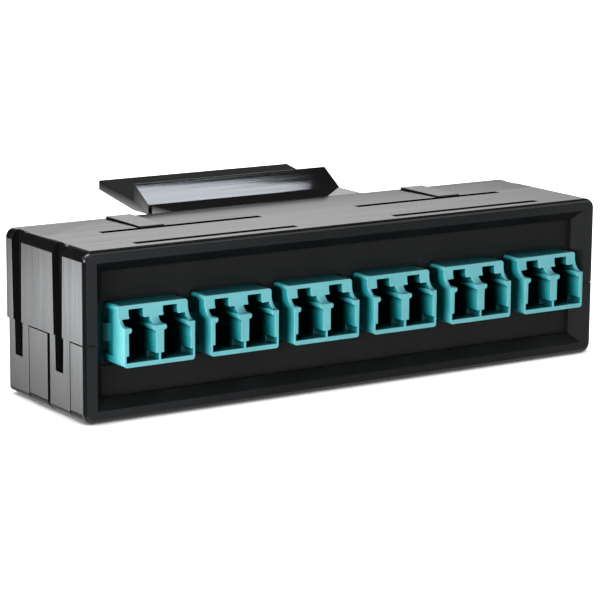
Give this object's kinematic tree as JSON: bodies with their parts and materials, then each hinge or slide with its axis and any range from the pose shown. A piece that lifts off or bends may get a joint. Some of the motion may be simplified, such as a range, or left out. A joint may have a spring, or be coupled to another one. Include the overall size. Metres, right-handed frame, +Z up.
{
  "type": "fibre adapter panel",
  "caption": "Slim black snap-together shell with a recessed plate of aqua duplex fibre ports across its front, an open rear and a springy barbed lever that latches it in a panel bay.",
  "frame": {"origin": "centre of the shell's flat underside", "axes": "+X along the row of ports, -Y out of the front ports, +Z up"},
  "size_m": [0.1056, 0.0569, 0.0316],
  "materials": {
    "shell_plastic": "polished black moulding",
    "latch_plastic": "polished black moulding",
    "plate_plastic": "fine satin black moulding",
    "aqua_plastic": "aqua moulding with a soft gloss",
    "sleeve_ceramic": "polished white zirconia"
  },
  "bodies": {
    "shell": {"upper_shell": "shell_plastic", "lower_shell": "shell_plastic", "adapter_plate": "plate_plastic", "adapter_front_1": "aqua_plastic", "adapter_rear_1": "aqua_plastic", "sleeve_1a": "sleeve_ceramic", "sleeve_1b": "sleeve_ceramic", "adapter_front_2": "aqua_plastic", "adapter_rear_2": "aqua_plastic", "sleeve_2a": "sleeve_ceramic", "sleeve_2b": "sleeve_ceramic", "adapter_front_3": "aqua_plastic", "adapter_rear_3": "aqua_plastic", "sleeve_3a": "sleeve_ceramic", "sleeve_3b": "sleeve_ceramic", "adapter_front_4": "aqua_plastic", "adapter_rear_4": "aqua_plastic", "sleeve_4a": "sleeve_ceramic", "sleeve_4b": "sleeve_ceramic", "adapter_front_5": "aqua_plastic", "adapter_rear_5": "aqua_plastic", "sleeve_5a": "sleeve_ceramic", "sleeve_5b": "sleeve_ceramic", "adapter_front_6": "aqua_plastic", "adapter_rear_6": "aqua_plastic", "sleeve_6a": "sleeve_ceramic", "sleeve_6b": "sleeve_ceramic"},
    "latch": {"latch_lever": "latch_plastic"}
  },
  "joints": [
    {"name": "latch_flex", "type": "hinge", "parent": "shell", "child": "latch", "pos_m": [0, 0.01365, 0.02845], "axis": [-1, 0, 0], "range_deg": [0, 13], "stiffness_Nm_per_rad": 0.9}
  ]
}
